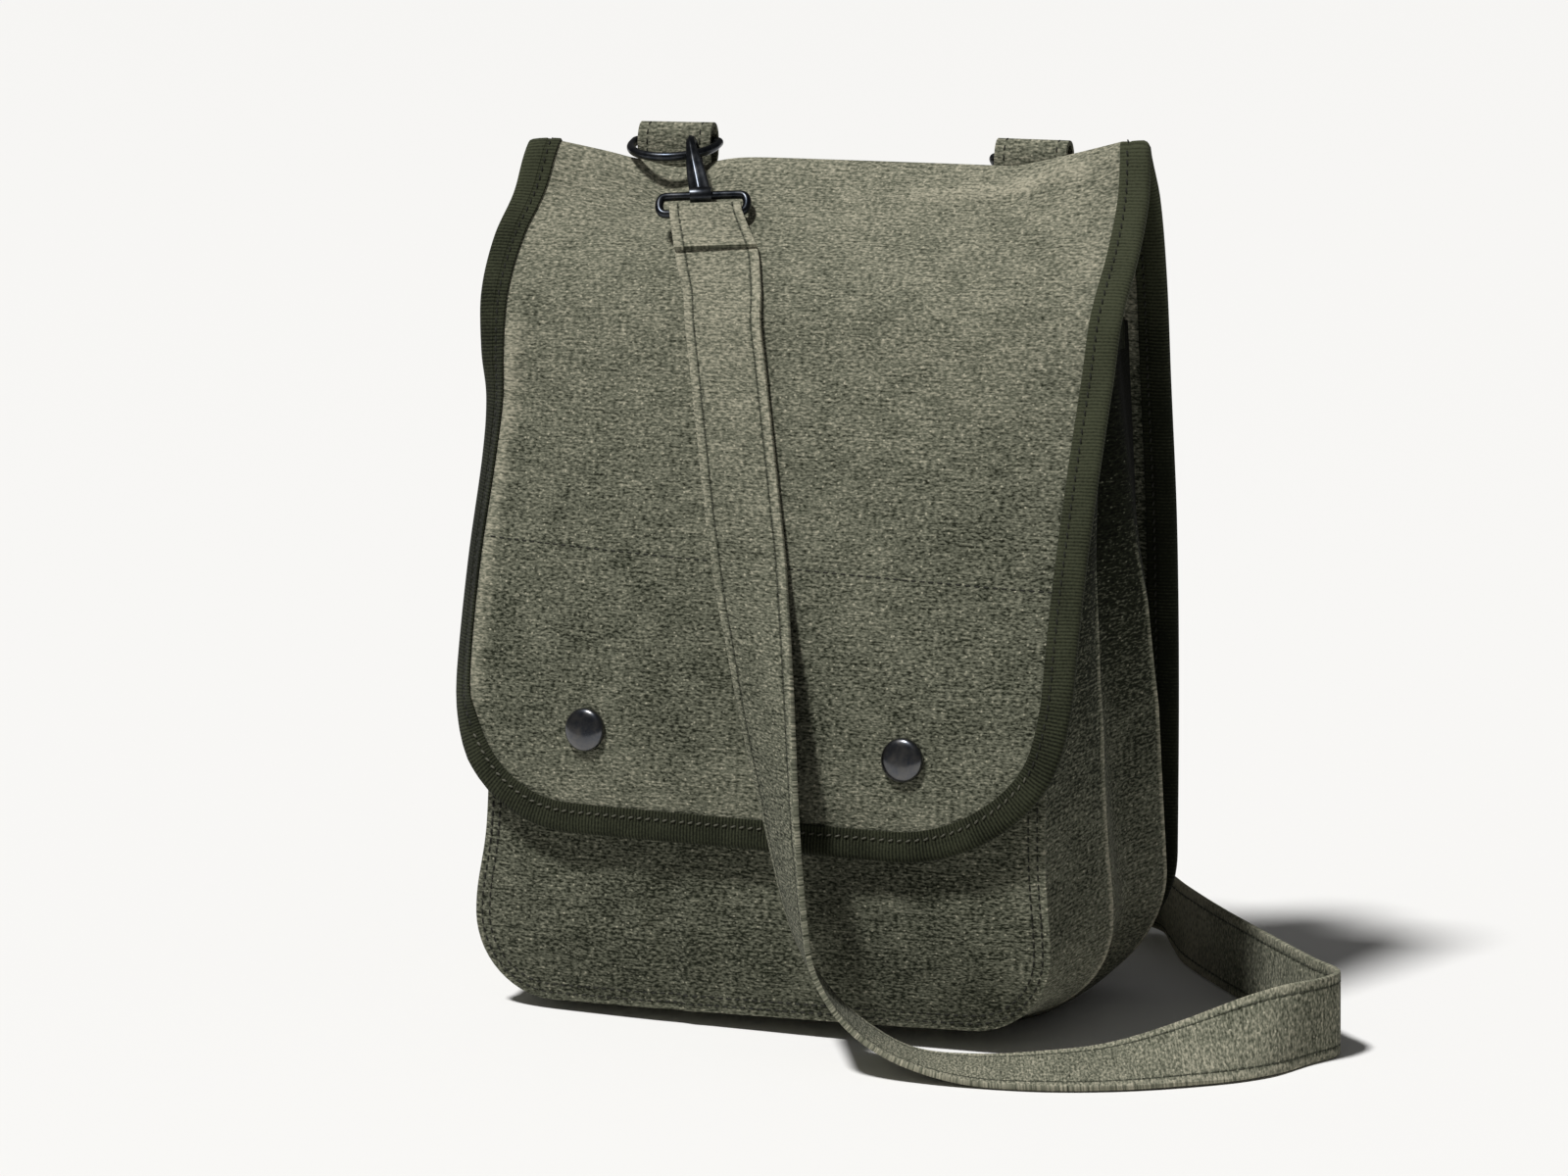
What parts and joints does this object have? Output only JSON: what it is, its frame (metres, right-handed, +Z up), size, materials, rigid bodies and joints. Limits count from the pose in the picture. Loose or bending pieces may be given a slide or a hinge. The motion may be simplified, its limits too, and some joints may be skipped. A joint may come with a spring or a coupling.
{
  "type": "map case",
  "caption": "Canvas shoulder map case with a long bound flap closed by press studs, accordion gusset sides, ring loops, snap hooks and a flat shoulder strap laid to one side.",
  "frame": {"origin": "middle of the base, on the surface that the bag stands on", "axes": "+X to the right of a viewer facing the flap, +Y from the flap to the back, +Z up"},
  "size_m": [0.3142, 0.2139, 0.3014],
  "materials": {
    "canvas": "washed olive-grey canvas",
    "tape": "dark olive ribbed binding tape",
    "black_metal": "glossy black"
  },
  "bodies": {
    "bag": {"back_and_flap": "canvas", "front_panel": "canvas", "gusset": "canvas", "edge_binding": "tape", "gusset_tape_left": "tape", "gusset_tape_right": "tape", "ring_loop_left": "canvas", "ring_loop_right": "canvas", "strap": "canvas", "ring_left": "black_metal", "ring_right": "black_metal", "hook_left": "black_metal", "hook_right": "black_metal", "hook_gate_right": "black_metal", "hook_bail_left": "black_metal", "hook_bail_right": "black_metal", "snap_cap_left": "black_metal", "snap_cap_right": "black_metal", "snap_stud_left": "black_metal", "snap_stud_right": "black_metal"},
    "gate_left": {"hook_gate_left": "black_metal"}
  },
  "joints": [
    {"name": "gate_left_hinge", "type": "hinge", "parent": "bag", "child": "gate_left", "pos_m": [-0.04918, 0.02706, 0.27921], "axis": [0.9057, 0.3163, 0.2824], "range_deg": [0, 25], "stiffness_Nm_per_rad": 0.03, "springref_deg": -20.05}
  ]
}
